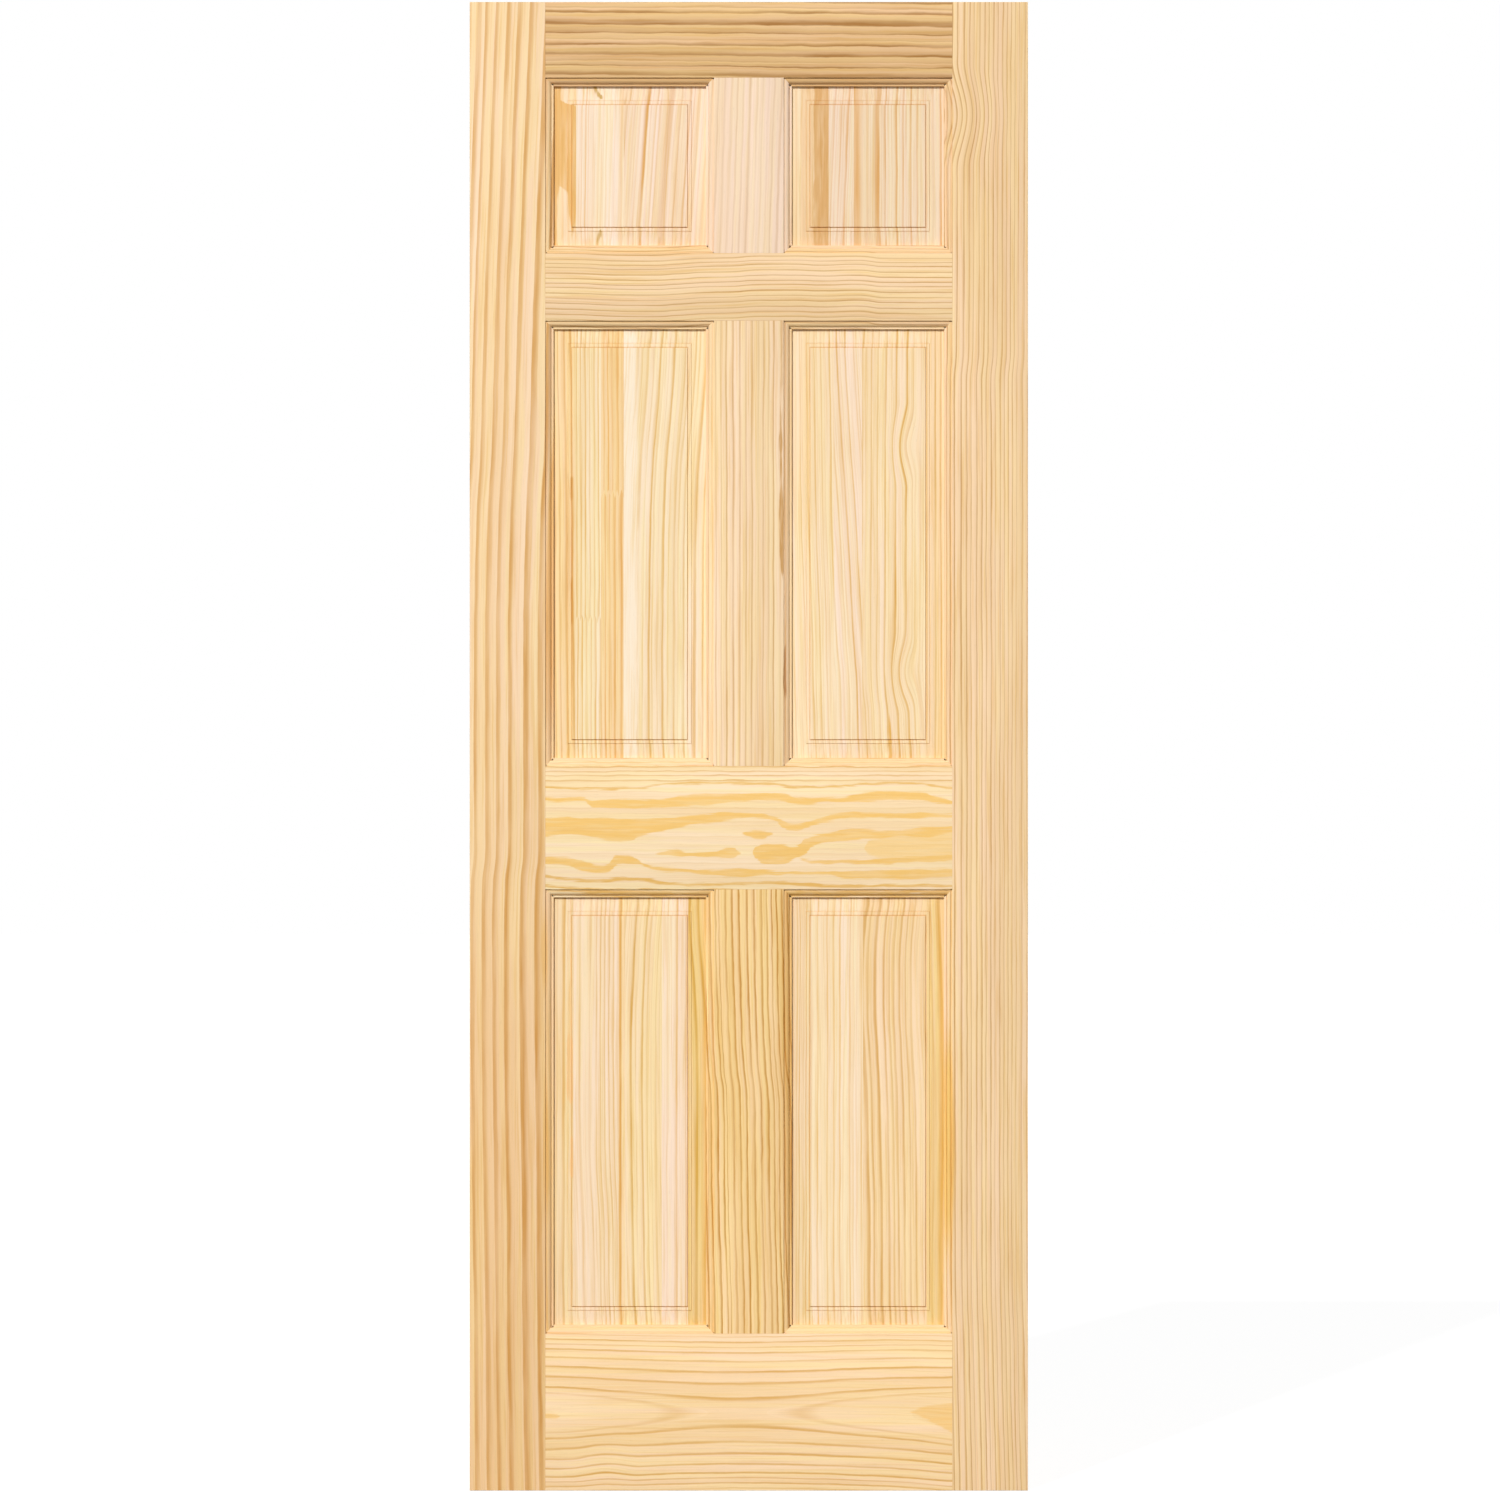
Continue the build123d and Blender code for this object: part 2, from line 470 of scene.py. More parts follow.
def pushes(wood, place, along, across, seed, wander, jitter, drift, swells, finger):
    """How far the grain is pushed across the board, in millimetres."""
    slow = wood.noise(place, SLOW_GRAIN, seed)
    quick = wood.noise(place, QUICK_GRAIN, seed + 1)
    moves = [wood.ramp(slow, *NOISE_REACH, -wander, wander, "LINEAR"),
             wood.ramp(quick, *NOISE_REACH, -jitter, jitter, "LINEAR")]
    if drift:
        moves.append(wood.line_through(along, drift))
    moves += [wood.mound(place, *swell) for swell in swells]
    if finger:
        tooth = wood.math("PINGPONG", across, FINGER_HALF_PITCH)
        joint = wood.math("MULTIPLY_ADD", tooth, FINGER_LENGTH / FINGER_HALF_PITCH, finger)
        beyond = wood.math("GREATER_THAN", along, joint)
        moves.append(wood.math("MULTIPLY", beyond, FINGER_JUMP))
    return wood.total(moves)


print("finger joints are", FINGER_LENGTH, "mm long")

# %% [markdown]
# ## Distance from the heart
# A board is a window into a round tree. A point's distance from the heart, across and behind the face, says
# how old the tree was when that wood grew. Where the heart dips away along the board the rings close up,
# and where it comes near they open.

# %% Places in a board
OBJECT_PLACE = 3


def places_in(wood, runs_up):
    """Places along, across and through a board, in millimetres on the door."""
    door_place = wood.add("ShaderNodeTexCoord", output=OBJECT_PLACE)
    door_mm = wood.add("ShaderNodeVectorMath", door_place, (1 / MM,) * 3, operation="MULTIPLY")
    split = wood.nodes.new("ShaderNodeSeparateXYZ")
    wood.feed(split.inputs[0], door_mm)
    x, depth, z = split.outputs
    return (z, x, depth) if runs_up else (x, z, depth)


def heart_distance(wood, along, from_heart, from_face, heart_line):
    """A point's distance from the heart, which lies sunk behind the face along a line of (along, sunk)."""
    below_heart = wood.math("SUBTRACT", from_face, wood.line_through(along, heart_line))
    squares = wood.math("ADD", wood.math("MULTIPLY", from_heart, from_heart),
                        wood.math("MULTIPLY", below_heart, below_heart))
    return wood.math("SQRT", squares)


print("places are in millimetres:", 1 / MM, "to the metre")

# %% [markdown]
# ## Early and late wood
# The distance from the heart, looked up in the ring table, gives a count. Its whole part is the year, and
# its fraction tells how far that year has come: late wood rises slowly and stops sharply. Weather makes
# each line stronger and weaker along its length.

# %% Late wood at a point
LATE_FULL = 0.3
WIDEST_LATE = 0.95
WEATHER_GRAIN = (150, 10, 10)
WEATHER_REACH = (0.3, 0.65)
WEATHER_LOW = 0.6


def late_wood(wood, table, radius, grain_place, seed, slope, edge):
    """The year's number, and how much late wood there is at a point, from 0 to 1."""
    count = wood.line_through(radius, [(pair[0], i) for i, pair in enumerate(table)], True)
    number = wood.math("FLOOR", count)
    part = wood.math("FRACT", count)
    shares = []
    strengths = []
    for i, (before, (distance, ring)) in enumerate(zip(table, table[1:])):
        shares.append((i, min(WIDEST_LATE, ring.width / (distance - before[0]))))
        strengths.append((i, ring.strength))
    share = wood.line_through(number, shares, True)
    strength = wood.line_through(number, strengths, True)
    start = wood.math("SUBTRACT", 1.0, share)
    full = wood.math("SUBTRACT", 1.0, wood.math("MULTIPLY", share, LATE_FULL))
    rise = wood.math("MAXIMUM", wood.ramp(part, start, full), wood.math("MULTIPLY", part, slope))
    fall = wood.ramp(part, 1 - edge, 1.0, 1.0, 0.0)
    weather = wood.noise(grain_place, WEATHER_GRAIN, seed + 5)
    line = wood.math("MULTIPLY", rise, fall)
    weathered = wood.math("MULTIPLY", strength, wood.ramp(weather, *WEATHER_REACH, WEATHER_LOW, 1.0))
    return number, wood.math("MULTIPLY", line, weathered)


print("late wood reaches its full colour over", 1 - LATE_FULL, "of its width")

# %% [markdown]
# ## Tint of the rings
# Early wood isn't one colour. Streaks of straw and rose run along it, and some years and some clouds of the
# board are warmer. The late wood's tone is mixed in over that.

# %% Early and late tint
BLUSH = 0.3
WARMTH = 0.4
STRAW_SHIFT = (0, 1, -6)
ROSE_SHIFT = (0, -2, 5)
CLOUD_GRAIN = (420, 46, 46)
CLOUD_REACH = (0.35, 0.7)
STREAK_GRAIN = (300, 10, 10)
STREAK_REACH = (0.38, 0.62)
YEAR_STEP = 17.0


def shifted(tone, shift):
    return [min(255, value + move) for value, move in zip(tone, shift)]


def ring_tint(wood, place, grain_place, seed, early, late, number, late_amount):
    """The colour that the rings give a point."""
    year = wood.add("ShaderNodeTexWhiteNoise", (0, 0, 0), wood.math("ADD", number, seed * YEAR_STEP),
                    noise_dimensions="1D")
    cloud = wood.ramp(wood.noise(place, CLOUD_GRAIN, seed + 2), *CLOUD_REACH)
    warmth = wood.math("MULTIPLY", wood.math("ADD", cloud, year), WARMTH)
    streak = wood.ramp(wood.noise(grain_place, STREAK_GRAIN, seed + 6), *STREAK_REACH)
    pale = wood.mix(streak, colour(*shifted(early, STRAW_SHIFT)), colour(*shifted(early, ROSE_SHIFT)))
    blush = [light + (deep - light) * BLUSH for light, deep in zip(early, late)]
    return wood.mix(late_amount, wood.mix(warmth, pale, colour(*blush)), colour(*late))


print("straw and rose shifts:", STRAW_SHIFT, ROSE_SHIFT)

# %% [markdown]
# ## Flames and fibre
# A flame band is laid over the rings, with a ragged edge, and broken up by the grain. Golden strands, fine
# fibres and resin ducts, the short dark dashes of pine, come last. They follow the pushed grain too.

# %% Bands and fibre
BREAK_GRAIN = (50, 5, 5)
BREAK_REACH = (0.3, 0.6)
BREAK_LOW = 0.7
FEATHER_GRAIN = (30, 2, 2)
FEATHER_MIDDLE = 0.5
FEATHER = 7
STRAND = (248, 240, 221)
STRAND_GRAIN = (150, 3, 3)
STRAND_REACH = (0.46, 0.7)
FIBRE_GRAIN = (60, 0.9, 0.9)
FIBRE_REACH = (0.3, 0.7)
FIBRE_TONES = (0.955, 1.025)
DUCT_GRAIN = (9, 0.45, 0.45)
DUCT_REACH = (0.66, 0.76)
DUCT_TONE = 0.9


def lay_bands(wood, tint, along, straight_across, grain_place, seed, bands):
    """The tint with bands of other tones laid over it."""
    breaks = wood.ramp(wood.noise(grain_place, BREAK_GRAIN, seed + 8), *BREAK_REACH, BREAK_LOW, 1.0)
    feather = wood.math("SUBTRACT", wood.noise(grain_place, FEATHER_GRAIN, seed + 9), FEATHER_MIDDLE)
    ragged_across = wood.math("ADD", straight_across, wood.math("MULTIPLY", feather, FEATHER))
    for band in bands:
        edges = []
        for side in (1, 2):
            line = wood.line_through(along, [(station[0], station[side]) for station in band.stations])
            near = wood.math("SUBTRACT", line, band.soft / 2)
            far = wood.math("ADD", line, band.soft / 2)
            edges.append(wood.ramp(ragged_across, near, far))
        amount = wood.math("MULTIPLY", wood.math("SUBTRACT", *edges), breaks)
        tint = wood.mix(amount, tint, colour(*band.tone))
    return tint


def lay_fibre(wood, tint, grain_place, seed, strands):
    """The tint with strands, fibres and ducts, and the fibre itself for the bump and the sheen."""
    strand = wood.noise(grain_place, STRAND_GRAIN, seed + 7)
    tint = wood.mix(wood.ramp(strand, *STRAND_REACH, 0.0, strands), tint, colour(*STRAND), "MULTIPLY")
    fibre = wood.noise(grain_place, FIBRE_GRAIN, seed + 3, detail=3.0)
    duct = wood.noise(grain_place, DUCT_GRAIN, seed + 4, detail=1.0)
    tone = wood.math("MULTIPLY", wood.ramp(fibre, *FIBRE_REACH, *FIBRE_TONES, "LINEAR"),
                     wood.ramp(duct, *DUCT_REACH, 1.0, DUCT_TONE))
    grey = wood.add("ShaderNodeCombineColor", tone, tone, tone)
    return wood.mix(1.0, tint, grey, "MULTIPLY"), fibre


print("strand tone", STRAND)

# %% [markdown]
# ## Ends, painted shade and finish
# End grain drinks light, so it is darker. The quirk under the face and the fine lines at the foot of each
# panel step get a painted shade, a brown tone at their depth for the shadow in these narrow recesses. The
# finish is bare sanded wood: dull, with a bump of fibres in which the hard late wood stands a little lower.

# %% Ends, painted shade and finish
SURFACE_NORMAL = 1
DOT_VALUE = 1
END_GRAIN = (214, 176, 128)
END_GRAIN_REACH = (0.6, 0.95)
END_GRAIN_AMOUNT = 0.55
PAINTED_SHADE_FULL = 0.02
PAINTED_SHADE_REACH = 0.25
# Painted shade: the quirk floor gets a brown tone for the shadow that falls in that recess.
QUIRK_PAINTED_SHADE = (FACE - QUIRK_DEPTH, (250, 246, 240))
BUMP_STRENGTH = 0.25
BUMP_HEIGHT = 0.15
LATE_SINK = 0.3
SANDED_ROUGHNESS = (0.5, 0.66)
DULL_SPECULAR = 0.25


def tint_ends_and_painted_shade(wood, tint, depth, runs_up, painted_shade):
    """The tint with darker end grain, and a painted shade at one depth for the shadow in a narrow recess."""
    normal = wood.add("ShaderNodeTexCoord", output=SURFACE_NORMAL)
    end_axis = (0, 0, 1) if runs_up else (1, 0, 0)
    facing = wood.add("ShaderNodeVectorMath", normal, end_axis, operation="DOT_PRODUCT", output=DOT_VALUE)
    end_grain = wood.ramp(wood.math("ABSOLUTE", facing), *END_GRAIN_REACH, 0.0, END_GRAIN_AMOUNT)
    tint = wood.mix(end_grain, tint, colour(*END_GRAIN), "MULTIPLY")
    # Painted shade: a brown tone laid at one depth, where a narrow recess lies in shadow.
    painted_shade_depth, painted_shade_tone = painted_shade
    off_painted_shade = wood.math("ABSOLUTE", wood.math("SUBTRACT", wood.math("ABSOLUTE", depth), painted_shade_depth))
    painted_shade_amount = wood.ramp(off_painted_shade, PAINTED_SHADE_FULL, PAINTED_SHADE_REACH, 1.0, 0.0)
    return wood.mix(painted_shade_amount, tint, colour(*painted_shade_tone), "MULTIPLY")


def sand(wood, tint, fibre, late_amount):
    """Give the shader the tint and the touch of bare sanded wood."""
    bump = wood.nodes.new("ShaderNodeBump")
    bump.inputs["Strength"].default_value = BUMP_STRENGTH
    bump.inputs["Distance"].default_value = BUMP_HEIGHT * MM
    sunk = wood.math("MULTIPLY", late_amount, LATE_SINK)
    wood.feed(bump.inputs["Height"], wood.math("SUBTRACT", fibre, sunk))
    wood.feed(wood.shader.inputs["Base Color"], tint)
    roughness = wood.ramp(fibre, *FIBRE_REACH, *SANDED_ROUGHNESS, "LINEAR")
    wood.feed(wood.shader.inputs["Roughness"], roughness)
    wood.feed(wood.shader.inputs["Normal"], bump.outputs[0])
    wood.shader.inputs["Specular IOR Level"].default_value = DULL_SPECULAR


print("bare wood roughness:", SANDED_ROUGHNESS)

# %% [markdown]
# ## One board of pine
# Now the recipe itself puts the steps in order. A board that was sawn flat also splays its grain with depth,
# so that the flames keep their shape over a moulding.

# %% A recipe for one board
SPLAY = 120


def pine(name, runs_up, seed, heart, rings, early, late, drift=(), swells=(), patches=(), bands=(), finger=0,
         splay=False, wander=1.2, jitter=0.4, slope=0.25, edge=0.12, strands=1.0, face_sunk=0,
         painted_shade=QUIRK_PAINTED_SHADE):
    """A board of pine. Places are in millimetres on the door, and the heart lies sunk behind its face."""
    wood = Recipe(name)
    along, across, depth = places_in(wood, runs_up)
    place = wood.add("ShaderNodeCombineXYZ", along, across, depth)
    from_face = wood.math("ADD", depth, FACE - face_sunk)

    heart_across, heart_sunk = heart
    push = pushes(wood, place, along, across, seed, wander, jitter, drift, swells, finger)
    straight_across = wood.math("SUBTRACT", across, push)
    from_heart = wood.math("SUBTRACT", straight_across, heart_across)
    if splay:
        splayed = wood.math("MULTIPLY", from_heart, wood.ramp(from_face, 0.0, SPLAY, 1.0, 2.0, "LINEAR"))
        straight_across = wood.math("ADD", splayed, heart_across)
    grain_place = wood.add("ShaderNodeCombineXYZ", along, straight_across, depth)

    heart_line = heart_sunk if isinstance(heart_sunk, list) else [(0, heart_sunk), (1, heart_sunk)]
    radius = heart_distance(wood, along, from_heart, from_face, heart_line)
    table = ring_table(rings, heart_across, heart_line[0][1])
    number, late_amount = late_wood(wood, table, radius, grain_place, seed, slope, edge)

    tint = ring_tint(wood, place, grain_place, seed, early, late, number, late_amount)
    if bands:
        tint = lay_bands(wood, tint, along, straight_across, grain_place, seed, bands)
    for patch in patches:
        spot = wood.mound(grain_place, *patch[:4], patch.strength, patch.soft)
        tint = wood.mix(spot, tint, colour(*patch.tone), "MULTIPLY")
    tint, fibre = lay_fibre(wood, tint, grain_place, seed, strands)
    # End grain first, then the painted shade in the quirk or in the panel lines.
    sand(wood, tint_ends_and_painted_shade(wood, tint, depth, runs_up, painted_shade), fibre, late_amount)
    print(name, "has", len(wood.nodes), "nodes")
    return wood.material


def dress(node, slot, *woods):
    """Give a piece its woods, hang it on the door's root and hide the model's node that it stands for."""
    piece = pieces[node + "_board"]
    for wood in woods:
        piece.data.materials.append(wood)
    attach(piece, "root")
    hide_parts(node)


print("boards to dress:", len(pieces))

# %% [markdown]
# ## Hinge stile
# A wide-ringed plank: broad honey bands, each sharp on its left side, lean to the right near the top. We
# give the places where the bands cross the face and let the drift bend them. The lower third is a shade
# darker, and resin left amber on the moulding: both are patches that multiply the wood's own colour.

# %% Hinge stile
RESIN = (246, 230, 184)
hinge_rings = rings_from([-34, -19, -8, 5.5, 21, 35.5, 51.5, 72.5, 92, 122], seed=4, share=0.6, faint=0.75)
dress("hinge_stile", "stile_pine", pine(
    "hinge_stile_pine", True, 1, heart=(240, 47), rings=hinge_rings, slope=0.4, edge=0.06,
    early=(255, 226, 184), late=(216, 162, 90),
    drift=[(0, 2), (290, -1), (760, -5), (830, -4), (880, 0), (1150, 0), (1240, 1.5), (1340, 4),
           (1440, 9), (1530, 11), (2032, 30)],
    patches=[Patch(250, 57, 700, 260, 0.6, (250, 242, 227), 1.0),
             Patch(735, 107, 80, 6, 0.7, RESIN, 0.8),
             Patch(465, 107, 120, 6, 0.7, RESIN, 0.8),
             Patch(1290, 112, 330, 12, 0.5, (248, 228, 190), 1.0)],
))

# %% [markdown]
# ## Lock stile
# A fine-ringed plank. Near the top the rings bow round a knot that stayed in the neighbouring board, so a
# swell pushes them aside there. Lower down its moulding is amber too.

# %% Lock stile
lock_rings = rings_from([640, 648, 656, 663.3, 672.9, 679.8, 685.3, 693.5, 700.3, 705.8, 712.7, 718.1, 725,
                         730.5, 736, 741.4, 746.9, 755.1, 762], seed=5, share=0.4, faint=0.55)
dress("lock_stile", "stile_pine", pine(
    "lock_stile_pine", True, 2, heart=(560, 60), rings=lock_rings,
    early=(253, 223, 179), late=(200, 152, 92),
    drift=[(0, 7), (205, 3), (370, 0), (1510, 0), (1560, 3), (1750, 3), (2032, 5)],
    swells=[Swell(1878, 655, 75, 90, 16)],
    patches=[Patch(1850, 710, 420, 220, 0.8, (247, 244, 240), 1.0),
             Patch(475, 652, 190, 14, 0.5, (250, 236, 184), 1.0)],
))

# %% [markdown]
# ## Top rail
# The darkest board of the door, with broad brown bands that end sharply on their lower side and fainter
# lines between them. Its rings differ too much for one rule, so each has its own width and strength.

# %% Top rail
top_rail_rings = [
    Ring(2032, 8, 0.8), Ring(2024, 4, 0.4), Ring(2016.9, 6, 0.9), Ring(1999.8, 13, 1.0),
    Ring(1988.9, 4, 1.0), Ring(1980, 4, 0.3), Ring(1972.5, 6, 0.9), Ring(1958.2, 8, 1.0),
    Ring(1951, 3, 0.3), Ring(1943.8, 4, 0.9), Ring(1930.5, 9, 0.75), Ring(1915, 6, 0.25),
    Ring(1902, 5, 0.4)]
dress("top_rail", "rail_pine", pine(
    "top_rail_pine", False, 3, heart=(2200, 60), rings=top_rail_rings,
    early=(243, 204, 150), late=(168, 118, 56), slope=0.6, edge=0.15,
    drift=[(104, 0.5), (380, -1), (520, -2), (660, -3)], wander=1.4, jitter=1.1,
))

# %% [markdown]
# ## Frieze rail
# Thin even rings that run nearly level, with a low wave past the middle. The wave is in the drift, so all
# the rings share it, as they do where a tree leaned.

# %% Frieze rail
frieze_rings = rings_from([1708, 1702, 1695, 1688, 1679.8, 1674.3, 1668.9, 1660.7, 1653.8, 1647, 1641.6,
                           1633.4, 1626.5, 1619.7, 1611.5, 1604.7, 1598, 1591, 1584],
                          seed=8, share=0.35, faint=0.65)
dress("frieze_rail", "rail_pine", pine(
    "frieze_rail_pine", False, 4, heart=(1850, 70), rings=frieze_rings,
    early=(255, 225, 180), late=(194, 144, 78),
    drift=[(104, 0), (156, -1), (197, -2.7), (238, -3), (280, -1.4), (321, 1), (362, 2), (403, 4), (444, 4),
           (485, 3), (526, 4), (567, 1), (660, 1)], wander=0.6,
))

# %% [markdown]
# ## Lock rail
# Sawn flat through the middle of the tree, so its rings open into broad flames and islands. Each flame is a
# band with its own lower and upper edge. Rings alone could make such flames, but not these shapes at these
# places. The first three lie above the heart of the flame.

# %% Upper flames of the lock rail
HONEY = (246, 200, 117)
DEEP_HONEY = (234, 186, 104)
PALE_HONEY = (249, 212, 147)
thin_line = Band(DEEP_HONEY, [
    (103, 959, 962), (175, 957, 960), (250, 961, 963), (314, 964, 967), (403, 964, 967), (454, 959, 962),
    (540, 963, 966), (591, 964, 967), (629, 961, 964), (660, 958, 961)])
first_flame = Band(HONEY, [
    (103, 941, 947), (155, 941, 946), (170, 932, 942), (222, 932, 943), (259, 933, 943), (287, 934, 949),
    (335, 937, 951), (403, 942, 952), (430, 941, 951), (451, 937, 946), (489, 940, 946), (533, 940, 952),
    (574, 942, 954), (608, 942, 954), (629, 940, 949), (660, 936, 941)])
second_flame = Band(HONEY, [
    (103, 892, 919), (136, 896, 919), (174, 890, 919), (211, 886, 917), (228, 892, 917), (249, 897, 917),
    (287, 905, 919), (307, 910, 921), (335, 912, 924), (352, 915, 926), (386, 918, 925), (410, 915, 921),
    (430, 904, 913), (441, 901, 910), (458, 904, 912), (482, 912, 919), (516, 917, 925), (574, 919, 925),
    (660, 919, 924)])
upper_flames = [thin_line, first_flame, second_flame]
print("upper flames:", len(upper_flames))

# %% [markdown]
# Below the heart of the flame the bands run level again, and two islands lie where the saw just touched a
# ring. An island is a band that closes to a point at both ends.

# %% Lower flames of the lock rail
third_flame = Band(HONEY, [
    (386, 871, 871), (393, 861, 880), (406, 856, 883), (425, 856, 882), (441, 861, 879), (451, 866, 883),
    (458, 869, 890), (468, 879, 893), (489, 885, 897), (523, 886, 903), (540, 889, 902), (561, 890, 901),
    (591, 893, 902), (615, 892, 905), (660, 898, 907)])
fourth_flame = Band(HONEY, [
    (103, 855, 865), (128, 854, 864), (146, 848, 861), (163, 845, 856), (180, 843, 853), (198, 852, 866),
    (211, 855, 867), (225, 855, 863), (242, 850, 855), (259, 846, 851), (300, 844, 848), (335, 840, 847),
    (369, 838, 849), (403, 840, 847), (437, 841, 845), (489, 840, 845), (523, 835, 845), (574, 835, 847),
    (660, 838, 848)])
fifth_flame = Band(DEEP_HONEY, [
    (103, 837, 840), (136, 833, 836), (180, 830, 834), (211, 833, 838), (232, 832, 837), (259, 828, 833),
    (300, 826, 829), (369, 828, 831), (420, 827, 832), (458, 825, 830), (506, 823, 827), (660, 824, 827)])
left_island = Band(HONEY, [
    (252, 870, 870), (266, 867, 873), (280, 866, 875), (300, 866, 871), (335, 865, 872), (355, 863, 878),
    (365, 867, 873), (371, 870, 870)])
right_island = Band(HONEY, [
    (371, 896, 896), (382, 892, 899), (395, 889, 900), (408, 893, 898), (415, 896, 896)])
lower_border = Band(HONEY, [
    (449, 862, 862), (475, 856, 860), (540, 855, 861), (600, 857, 864), (660, 859, 867)])
last_line = Band(DEEP_HONEY, [(103, 824, 827), (133, 821, 824), (171, 819, 822), (220, 818, 821)])
lower_flames = [third_flame, fourth_flame, fifth_flame, left_island, right_island, lower_border, last_line]
print("lower flames:", len(lower_flames))

# %% [markdown]
# The rail itself has plain rings along both edges and only faint ones between, where the flames lie. A soft
# tan ground goes under the flames at the right end, so it is laid first.

# %% Lock rail
tan_ground = Band(PALE_HONEY, [
    (538, 876, 876), (549, 866, 888), (575, 861, 892), (610, 861, 893), (660, 863, 899)], 5.0)
lock_rail_rings = (
    rings_from([805, 812, 818], seed=3, share=0.4, faint=0.3, bold=0.7)
    + rings_from(places_between(826, 966, spacing=7, seed=7), seed=7, share=0.35, faint=0.08, bold=0.25)
    + rings_from([970.6, 977.4, 982.9, 989, 994, 1000], seed=9, share=0.5, faint=0.6)
)
dress("lock_rail", "rail_pine", pine(
    "lock_rail_pine", False, 5, heart=(700, 60), rings=lock_rail_rings,
    early=(255, 231, 189), late=(220, 168, 92), splay=True, wander=0.6, jitter=1.2, strands=0.4,
    bands=[tan_ground, *upper_flames, *lower_flames],
))

# %% [markdown]
# ## Bottom rail
# Also flat-sawn: the heart dips away from the face in the middle, so the rings pinch like an hourglass. At
# the right end it comes up again, and the saw opened one honey tongue there.

# %% Bottom rail
TONGUE = (247, 204, 134)
tongue = Band(TONGUE, [(600, 110, 110), (615, 104, 115), (635, 95, 120), (660, 83, 123)], 4.0)
blotch = Band(TONGUE, [(104, 98, 105), (116, 98, 105), (124, 102, 102)], 4.0)
dipping_heart = [(104, 40), (122, 40.5), (220, 45.5), (321, 49.8), (360, 50.3), (410, 49.8), (520, 45),
                 (604, 40.3), (657, 36.2)]
dress("bottom_rail", "rail_pine", pine(
    "bottom_rail_pine", False, 6, heart=(106, dipping_heart),
    rings=[Ring(111, 5, 0.1), Ring(136, 3, 0.5), Ring(143.5, 3, 0.9), Ring(158, 4, 0.9),
           Ring(171.5, 4.5, 1.0), Ring(184, 4, 0.9), Ring(195, 4, 1.0), Ring(201.5, 3, 0.7),
           Ring(208, 3, 0.9), Ring(215, 3, 0.6), Ring(223, 3, 0.15)],
    early=(255, 225, 180), late=(220, 168, 86), slope=0.2,
    drift=[(104, 0), (500, 0), (660, -4)], swells=[Swell(184, 40, 50, 60, 5)], wander=1.0, jitter=0.6,
    edge=0.15, strands=0.6,
    bands=[tongue, blotch],
))

# %% [markdown]
# ## Mullions
# Three short uprights from three different planks: pinkish, tan and strong yellow-brown. The first two are
# plain enough for rings thrown with dice from a fixed seed. The third's are given one by one, and half of
# them were measured along a cut through the photo.

# %% Mullions
dress("top_mullion", "mullion_pine", pine(
    "top_mullion_pine", True, 7, heart=(150, 50),
    rings=rings_from(places_between(300, 460, spacing=9, seed=11), seed=11, share=0.6, faint=0.3), edge=0.4,
    early=(253, 227, 199), late=(218, 178, 136), drift=[(1690, -4), (1920, 4)], wander=2.5, jitter=0.8,
    strands=0.4,
))
dress("middle_mullion", "mullion_pine", pine(
    "middle_mullion_pine", True, 8, heart=(150, 40),
    rings=rings_from(places_between(300, 460, spacing=8, seed=12), seed=12, share=0.55, faint=0.25),
    edge=0.25, early=(255, 228, 188), late=(202, 150, 82), wander=2.0,
    bands=[Band((206, 156, 92), [(1240, 427, 427), (1290, 423, 428), (1376, 423, 427), (1500, 425, 426)]),
           Band((186, 130, 76), [(1078, 430, 430), (1105, 428, 431.5), (1140, 428, 431), (1158, 430, 430)])],
))
bottom_mullion_rings = rings_from([300, 310, 319, 329, 337, 341, 351, 360, 369, 380, 389, 399, 406, 412.5,
                                   419.5, 427, 434, 441, 448, 455], seed=13, share=0.5, faint=0.75)
dress("bottom_mullion", "mullion_pine", pine(
    "bottom_mullion_pine", True, 9, heart=(150, 40), rings=bottom_mullion_rings,
    early=(255, 224, 168), late=(194, 132, 30), jitter=0.8,
    drift=[(229, 17), (260, 16.4), (397, 12.3), (533, 11), (575, 7), (629, 4), (806, 0)],
    patches=[Patch(500, 436, 500, 30, 0.8, (244, 232, 206), 1.0)],
))

# %% [markdown]
# ## Panel staves
# No plank is as wide and steady as a panel, so each panel is glued up from narrow staves with their faces
# turned as they came. The glue lines are cut into the mesh, and each stave gets its own wood. A stave tells
# its right edge, its two colours, its rings and how they lean.

# %% Words for staves
FIELD_SUNK = FACE - FIELD_HALF
STAVE_BREADTH = 1.2
STAVE_EDGE = 0.2
STAVE_HEART_SUNK = 40
# Painted shade: the fine lines at the foot of each panel step are darkened for the shadow that falls in
# them.
LINE_PAINTED_SHADE = (LAND_HALF - LINE_DEPTH, (232, 214, 190))
Stave = namedtuple("Stave", "right early late rings lean heart swells bands wander finger",
                   defaults=((), -150, (), (), 1.6, 0))


def cut_staves(piece, joints):
    """Cut the mesh along upright glue lines, and number the staves from left to right."""
    draft = bmesh.new()
    draft.from_mesh(piece.data)
    for joint in joints:
        parts = list(draft.verts) + list(draft.edges) + list(draft.faces)
        bmesh.ops.bisect_plane(draft, geom=parts, plane_co=(joint * MM, 0, 0), plane_no=(1, 0, 0), dist=TINY)
    for face in draft.faces:
        middle = face.calc_center_median().x / MM
        face.material_index = sum(middle > joint for joint in joints)
    draft.to_mesh(piece.data)
    draft.free()


